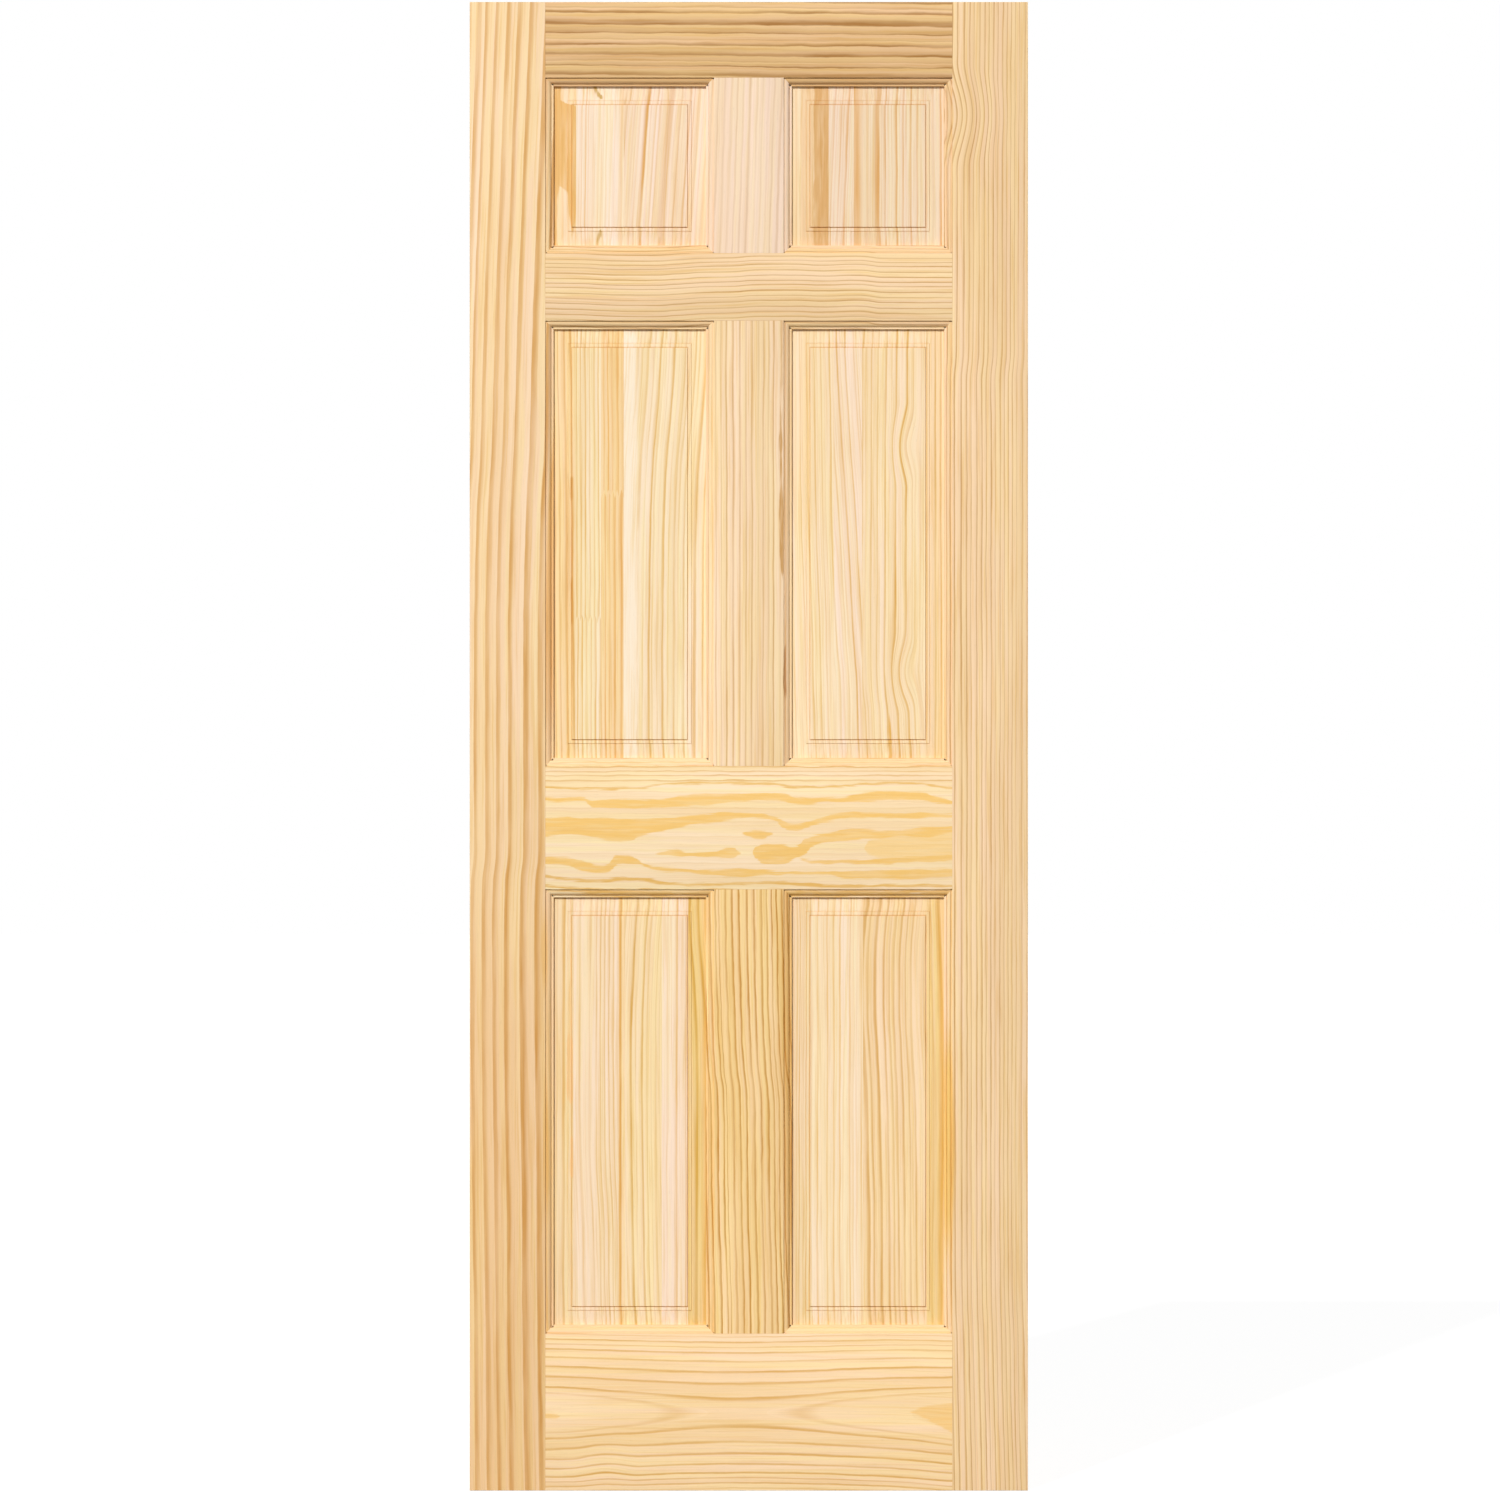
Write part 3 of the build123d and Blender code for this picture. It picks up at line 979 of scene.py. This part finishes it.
def lay_up(panel, seed, *staves):
    """Cut a panel into its staves and give each one its wood."""
    piece = pieces[panel + "_panel_board"]
    cut_staves(piece, [stave.right for stave in staves[:-1]])
    crisp(piece)
    woods = []
    for number, stave in enumerate(staves, 1):
        rings = [ring._replace(width=ring.width * STAVE_BREADTH) for ring in stave.rings]
        woods.append(pine(
            f"{panel}_stave_{number}", True, seed + number, rings=rings, early=stave.early, late=stave.late,
            heart=(stave.right + stave.heart, STAVE_HEART_SUNK), drift=stave.lean, swells=stave.swells,
            bands=stave.bands, finger=stave.finger, wander=stave.wander, edge=STAVE_EDGE,
            face_sunk=FIELD_SUNK, painted_shade=LINE_PAINTED_SHADE,
        ))
    dress(panel + "_panel", "panel_pine", *woods)


print(f"panel fields lie {FIELD_SUNK:.1f} mm below the face of the frame")

# %% [markdown]
# ## Top left panel
# Three staves. Resin soaked the left one amber in a corner, and the middle one has two short hooks of
# olive-brown late wood. Corner and hooks are bands, because a ring can't end inside a stave.

# %% Top left panel
AMBER = (237, 188, 116)
OLIVE = (212, 172, 100)
amber_corner = Band(AMBER, [
    (1712, 140, 140), (1740, 136, 145), (1770, 134, 147), (1792, 114, 147), (1860, 110, 147),
    (1887, 110, 147), (1894, 110, 133), (1903, 110, 117), (1907, 110, 110)], 4.0)
amber_strip = Band(AMBER, [(1690, 110, 119), (1740, 110, 119), (1790, 110, 124)])
upper_hook = Band(OLIVE, [(1900, 179, 179), (1903, 174, 180), (1910, 170, 174), (1924, 166, 169)])
lower_hook = Band(OLIVE, [(1697, 174, 176), (1708, 175, 178), (1720, 177, 181), (1723, 180, 180)])
lay_up(
    "top_left", 20,
    Stave(145, (254, 230, 194), (244, 192, 114),
          [Ring(110, 3, 0.4), Ring(119, 4, 0.5), Ring(128, 4, 0.4), Ring(137, 4, 0.5), Ring(146, 4, 0.5)],
          bands=[amber_corner, amber_strip]),
    Stave(210, (255, 236, 212), (236, 184, 104),
          fill_gaps([Ring(145, 3, 0.3), Ring(154, 2.6, 0.8), Ring(159, 2.4, 0.8), Ring(176, 3, 0.3),
                     Ring(192, 3, 0.3), Ring(209, 7, 0.5), Ring(216, 3, 0.3)],
                    spacing=7, seed=1, strength=0.35),
          [(1690, -2), (1920, 2)], bands=[upper_hook, lower_hook]),
    Stave(330, (254, 231, 204), (222, 164, 88),
          fill_gaps([Ring(205, 3, 0.2), Ring(222, 3, 0.3), Ring(240, 6, 1.0), Ring(251, 3, 0.4),
                     Ring(274, 14, 0.45), Ring(284, 3, 0.5), Ring(297, 4, 0.5), Ring(309, 4, 0.3),
                     Ring(322, 4, 0.4)], spacing=7, seed=2, strength=0.35),
          [(1700, -8), (1910, 6)]),
)

# %% [markdown]
# ## Top right panel
# Four staves, with a tan and a brown band side by side at the left. The bands run the whole height, so two
# stations are enough for each.

# %% Top right panel
tan_band = Band((241, 205, 160), [(1690, 452, 470), (1930, 453, 470)], 5.0)
brown_band = Band((222, 173, 112), [(1690, 469, 492), (1930, 470, 492)], 3.0)
lay_up(
    "top_right", 30,
    Stave(490, (249, 229, 190), (230, 172, 100),
          [Ring(436, 4, 0.3), Ring(447, 4, 0.3), Ring(456, 4, 0.3), Ring(463, 3, 0.3), Ring(469, 3, 0.4),
           Ring(477, 4, 0.4), Ring(489.5, 6, 0.5), Ring(502, 6, 0.5)],
          bands=[tan_band, brown_band], wander=0.6),
    Stave(524.5, (248, 228, 203), (226, 170, 108),
          fill_gaps([Ring(488, 3, 0.3), Ring(497, 3, 0.8), Ring(507, 3, 0.6), Ring(516, 4, 0.8),
                     Ring(526, 3, 0.4)], spacing=5, seed=3, strength=0.45),
          [(1690, -5), (1920, 4)]),
    Stave(545, (246, 225, 196), (226, 170, 98),
          [Ring(522, 14, 1.0), Ring(541, 5, 0.4), Ring(552, 4, 0.4)], heart=150, wander=0.6),
    Stave(660, (247, 227, 198), (222, 166, 98),
          fill_gaps([Ring(545, 3, 0.3), Ring(560, 9, 0.9), Ring(568, 3, 0.7), Ring(584, 4, 0.9),
                     Ring(593, 3.5, 0.6), Ring(604, 4, 0.8), Ring(613, 4, 0.6), Ring(624, 3, 0.4),
                     Ring(634, 3, 0.3), Ring(645, 4, 0.9), Ring(655, 3, 0.4)],
                    spacing=5, seed=4, strength=0.4)),
)

# %% [markdown]
# ## Middle left panel
# Four staves. Two of them have a finger joint, which shows as a small jump of the lines. A strip of white
# sapwood leans across the widest stave, and two brown marks lie beside the first glue line.

# %% Middle left panel
MARK = (220, 162, 80)
WHITE_SAP = (255, 236, 209)
upper_mark = Band(MARK, [(1350, 139, 139), (1362, 137, 141), (1376, 137, 141), (1386, 139, 139)])
lower_mark = Band(MARK, [(1180, 139, 139), (1200, 137, 141), (1235, 137, 140.5), (1250, 139, 139)])
white_strip = Band(WHITE_SAP, [(1002, 200, 230), (1288, 200, 229), (1553, 184, 213), (1590, 183, 212)], 8.0)
lay_up(
    "middle_left", 40,
    Stave(144, (253, 225, 176), (220, 162, 78),
          [Ring(108, 4, 0.4), Ring(116, 4, 0.4), Ring(123, 3, 0.7), Ring(133, 5, 0.7), Ring(142, 5, 0.9),
           Ring(150, 4, 0.4)],
          [(1000, 3), (1590, -3)], bands=[upper_mark, lower_mark]),
    Stave(179, (255, 237, 200), (230, 180, 94),
          rings_from([138, 143, 149, 155, 161, 167, 173, 179], seed=14, share=0.5, faint=0.45), finger=1184),
    Stave(210, (253, 225, 176), (232, 172, 90),
          [Ring(174, 3, 0.4), Ring(180, 3, 0.5), Ring(186, 3, 0.9), Ring(192, 3, 0.6), Ring(200, 4.5, 0.9),
           Ring(209.5, 5, 0.9), Ring(216, 3, 0.4)], finger=1355),
    Stave(330, (255, 235, 200), (224, 174, 90),
          fill_gaps([Ring(212, 3, 0.2), Ring(231, 4, 0.5), Ring(248, 4, 1.0), Ring(266, 4, 0.9),
                     Ring(281, 4, 0.6), Ring(294, 4, 0.7), Ring(309, 7, 0.7), Ring(319, 4, 0.8),
                     Ring(328, 4, 0.5)], spacing=7, seed=5, strength=0.35),
          [(1002, -1), (1288, 0), (1553, 16), (1590, 17)], bands=[white_strip]),
)

# %% [markdown]
# ## Middle right panel
# Four staves whose lines lean different ways. In the third the rings bow twice, where knots lay close by,
# and a short orange streak lies at its foot.

# %% Middle right panel
orange_streak = Band((232, 182, 100), [
    (1003, 567, 571), (1030, 566, 571), (1048, 567, 570), (1062, 568, 568)])
lay_up(
    "middle_right", 50,
    Stave(497, (255, 233, 198), (228, 180, 96),
          fill_gaps([Ring(438, 3, 0.3), Ring(454, 3, 0.5), Ring(464.5, 3.5, 0.7), Ring(474.6, 3, 0.6),
                     Ring(483.6, 3, 0.6), Ring(496, 3.5, 0.9), Ring(504, 3, 0.4)],
                    spacing=5, seed=6, strength=0.35),
          [(1000, 9), (1240, 2), (1300, 0), (1590, -4)]),
    Stave(536, (254, 231, 202), (226, 176, 98),
          fill_gaps([Ring(482, 3, 0.4), Ring(496, 3, 0.4), Ring(508, 3, 0.5), Ring(519, 3.5, 0.9),
                     Ring(531, 3.5, 0.9), Ring(543, 3, 0.5), Ring(556, 3, 0.5)],
                    spacing=5, seed=7, strength=0.35),
          [(1003, 13), (1097, 12), (1157, 8), (1297, 0), (1541, -16), (1590, -18)]),
    Stave(623, (255, 232, 196), (222, 170, 84),
          fill_gaps([Ring(530, 3, 0.3), Ring(537, 3.5, 0.8), Ring(549, 3, 0.5), Ring(557, 3, 0.5),
                     Ring(568, 4, 0.8), Ring(582, 4, 1.0), Ring(597, 4.5, 1.0), Ring(605, 3, 0.4),
                     Ring(616, 3, 0.2), Ring(626, 3, 0.4)], spacing=5, seed=8, strength=0.3),
          [(1003, 7), (1060, 5), (1150, 0), (1590, 2)], -190,
          [Swell(1427, 592, 62, 28, -10), Swell(1117, 592, 60, 28, -10)], bands=[orange_streak]),
    Stave(660, (254, 227, 184), (218, 170, 88),
          [Ring(618, 3, 0.3), Ring(626, 3.5, 0.5), Ring(637.5, 4, 0.9), Ring(645, 3.5, 0.8),
           Ring(653, 4, 0.6)]),
)

# %% [markdown]
# ## Bottom left panel
# Six staves, the most of any panel. The last is golden, and two salmon marks lie beside the first glue line.

# %% Bottom left panel
SALMON = (244, 202, 144)
high_salmon = Band(SALMON, [(525, 137, 137), (545, 133, 141), (600, 132, 141), (625, 136, 138)], 3.0)
low_salmon = Band(SALMON, [(424, 139, 139), (440, 136, 142), (470, 136, 142), (484, 139, 139)], 3.0)
lay_up(
    "bottom_left", 60,
    Stave(141, (247, 223, 180), (222, 174, 96),
          [Ring(108, 3, 0.4), Ring(119, 3, 0.5), Ring(130, 6, 0.9), Ring(140, 4, 0.5), Ring(150, 3, 0.4)],
          [(225, -1), (800, 1)], bands=[high_salmon, low_salmon]),
    Stave(203, (254, 231, 200), (226, 178, 98),
          [Ring(142, 3, 0.4), Ring(152, 4.5, 0.6), Ring(166.6, 4.5, 0.6), Ring(174.5, 3, 0.7),
           Ring(180, 3, 0.7), Ring(186, 3, 0.7), Ring(192, 3, 0.8), Ring(198, 3, 0.6), Ring(204, 3, 0.5)],
          [(225, 6), (340, 5), (520, 0), (800, 0)]),
    Stave(212, (253, 225, 178), (226, 168, 84),
          [Ring(198, 3, 0.4), Ring(208, 5.5, 1.0), Ring(217, 3, 0.3)], wander=0.5),
    Stave(262, (255, 231, 188), (218, 168, 80),
          fill_gaps([Ring(208, 3, 0.3), Ring(223, 5, 1.0), Ring(238, 4.5, 0.9), Ring(244, 3, 0.5),
                     Ring(256, 3, 0.4), Ring(268, 3, 0.4)], spacing=6, seed=10, strength=0.35),
          [(230, 5), (340, 2), (480, 0), (600, -1), (700, 1), (800, 7)]),
    Stave(298, (254, 231, 204), (230, 180, 110),
          [Ring(252, 3, 0.3), Ring(262, 4, 0.8), Ring(271, 3, 0.3), Ring(285, 6, 0.8), Ring(297, 4, 0.7)]),
    Stave(330, (244, 214, 153), (214, 164, 66),
          [Ring(288, 5, 0.5), Ring(300, 6, 0.6), Ring(312, 6, 1.0), Ring(324, 6, 0.9), Ring(334, 5, 0.6)],
          [(225, 0), (530, 0), (793, -11)]),
)

# %% [markdown]
# ## Bottom right panel
# Four staves. The first is so fine and even that its rings are thrown with dice from a fixed seed, and the
# last is golden, like the last one of the panel beside it.

# %% Bottom right panel
lay_up(
    "bottom_right", 70,
    Stave(467, (245, 221, 181), (226, 178, 104),
          rings_from(places_between(432, 475, spacing=4.6, seed=15), seed=15, share=0.5, faint=0.4),
          wander=2.5),
    Stave(537, (254, 233, 201), (234, 186, 110),
          fill_gaps([Ring(462, 3, 0.3), Ring(476.6, 3.5, 0.7), Ring(490, 3.5, 0.7), Ring(499, 3.5, 0.8),
                     Ring(507.5, 3.5, 0.8), Ring(521.5, 3.5, 0.8), Ring(537, 3.5, 0.7), Ring(546, 3, 0.4)],
                    spacing=6, seed=12, strength=0.35),
          wander=2.0),
    Stave(624, (254, 226, 183), (216, 164, 86),
          [Ring(531, 3, 0.3), Ring(542, 6, 0.9), Ring(548, 3.5, 0.7), Ring(559, 5, 0.9),
           Ring(570, 4.5, 0.8), Ring(577, 3.5, 0.6), Ring(583, 3.5, 0.7), Ring(591.5, 4, 0.8),
           Ring(599.5, 3.5, 0.7), Ring(607, 3.5, 0.6), Ring(616, 3, 0.3), Ring(626, 3.5, 0.5)],
          [(225, 6), (340, 5), (520, 3), (600, 0), (700, -3), (770, 0), (800, 3)]),
    Stave(660, (244, 214, 156), (222, 170, 78),
          [Ring(622, 3, 0.4), Ring(633, 4, 0.5), Ring(646, 8, 1.0), Ring(655, 4, 0.6)],
          [(225, 1), (690, 0), (800, -3)]),
)
print("woods:", len(bpy.data.materials))

# %% [markdown]
# ## Floor and world
# The door stands on a pale floor in a white room. An even white world fills the shadows. More light would
# make the room white, but it would bleach the wood too. So what the camera sees of floor and world is lifted
# to white by itself, and the floor keeps the shadow.

# %% Floor and world
FLOOR_SIZE = 60.0
FLOOR_DROP = 0.0005
FLOOR_GREY = (0.3, 0.3, 0.3, 1)
FLOOR_LIFT = 0.82
WORLD_LIGHT = 0.24
WHITE = (1, 1, 1, 1)


def camera_sees(recipe_nodes, links):
    """One where a ray comes from the camera, a mirror or glass, and nothing for the light on the door."""
    path = recipe_nodes.new("ShaderNodeLightPath")
    first = recipe_nodes.new("ShaderNodeMath")
    first.operation = "MAXIMUM"
    links.new(path.outputs["Is Camera Ray"], first.inputs[0])
    links.new(path.outputs["Is Glossy Ray"], first.inputs[1])
    second = recipe_nodes.new("ShaderNodeMath")
    second.operation = "MAXIMUM"
    links.new(first.outputs[0], second.inputs[0])
    links.new(path.outputs["Is Transmission Ray"], second.inputs[1])
    return second.outputs[0]


world = bpy.data.worlds.new("white_room")
bpy.context.scene.world = world
world.use_nodes = True
background = world.node_tree.nodes["Background"]
background.inputs["Color"].default_value = WHITE
seen = camera_sees(world.node_tree.nodes, world.node_tree.links)
brightness = world.node_tree.nodes.new("ShaderNodeMapRange")
brightness.inputs["To Min"].default_value = WORLD_LIGHT
brightness.inputs["To Max"].default_value = 1.0
world.node_tree.links.new(seen, brightness.inputs["Value"])
world.node_tree.links.new(brightness.outputs[0], background.inputs["Strength"])

bpy.ops.mesh.primitive_plane_add(size=FLOOR_SIZE, location=(lock_edge / 2 * MM, 0, -FLOOR_DROP))
floor = bpy.context.object
floor.name = "floor"
paint = Recipe("floor_paint")
paint.shader.inputs["Base Color"].default_value = FLOOR_GREY
paint.shader.inputs["Roughness"].default_value = 1.0
paint.shader.inputs["Specular IOR Level"].default_value = 0.0
paint.shader.inputs["Emission Color"].default_value = WHITE
floor_seen = camera_sees(paint.nodes, paint.material.node_tree.links)
paint.feed(paint.shader.inputs["Emission Strength"], paint.math("MULTIPLY", floor_seen, FLOOR_LIFT))
floor.data.materials.append(paint.material)
print("floor", FLOOR_SIZE, "m wide, world light", WORLD_LIGHT)

# %% [markdown]
# ## Lamps
# A distant lamp from the upper left in front draws the lines under the rails and along the panels, so it is
# small and its shadows are crisp. A weaker and wider lamp keeps the back from going dark.

# %% Lamps
from mathutils import Vector

KEY_SIDE = (-0.32, -1.0, 0.58)
KEY_STRENGTH = 2.8
KEY_WIDTH = 2
BACK_SIDE = (0.45, 0.75, 0.5)
BACK_STRENGTH = 1.9
BACK_WIDTH = 20


def sun(name, towards, strength, width):
    """A distant lamp on the given side of the door. Its width is an angle in degrees."""
    lamp = bpy.data.lights.new(name, "SUN")
    lamp.energy = strength
    lamp.angle = math.radians(width)
    lamp_object = bpy.data.objects.new(name, lamp)
    lamp_object.rotation_euler = Vector(towards).to_track_quat("Z", "Y").to_euler()
    bpy.context.collection.objects.link(lamp_object)


sun("key_lamp", KEY_SIDE, KEY_STRENGTH, KEY_WIDTH)
sun("back_lamp", BACK_SIDE, BACK_STRENGTH, BACK_WIDTH)

# %% [markdown]
# ## Camera
# The picture is taken square on, from about ten metres away with a long lens, level with the middle of
# the door. From so far away the edges of the slab stay hidden, and its sides look parallel.

# %% Camera
CAMERA_DISTANCE = 10.0
CAMERA_X = 0.3826
CAMERA_Z = 1.0109
LENS = 175.82
SENSOR_WIDTH = 36
camera_data = bpy.data.cameras.new("camera")
camera_data.lens = LENS
camera_data.sensor_width = SENSOR_WIDTH
camera = bpy.data.objects.new("camera", camera_data)
camera.location = (CAMERA_X, -CAMERA_DISTANCE - FACE * MM, CAMERA_Z)
camera.rotation_euler = (math.pi / 2, 0, 0)
bpy.context.collection.objects.link(camera)
bpy.context.scene.camera = camera
bpy.context.scene.view_settings.view_transform = "Standard"
print("camera at", tuple(round(value, 3) for value in camera.location))
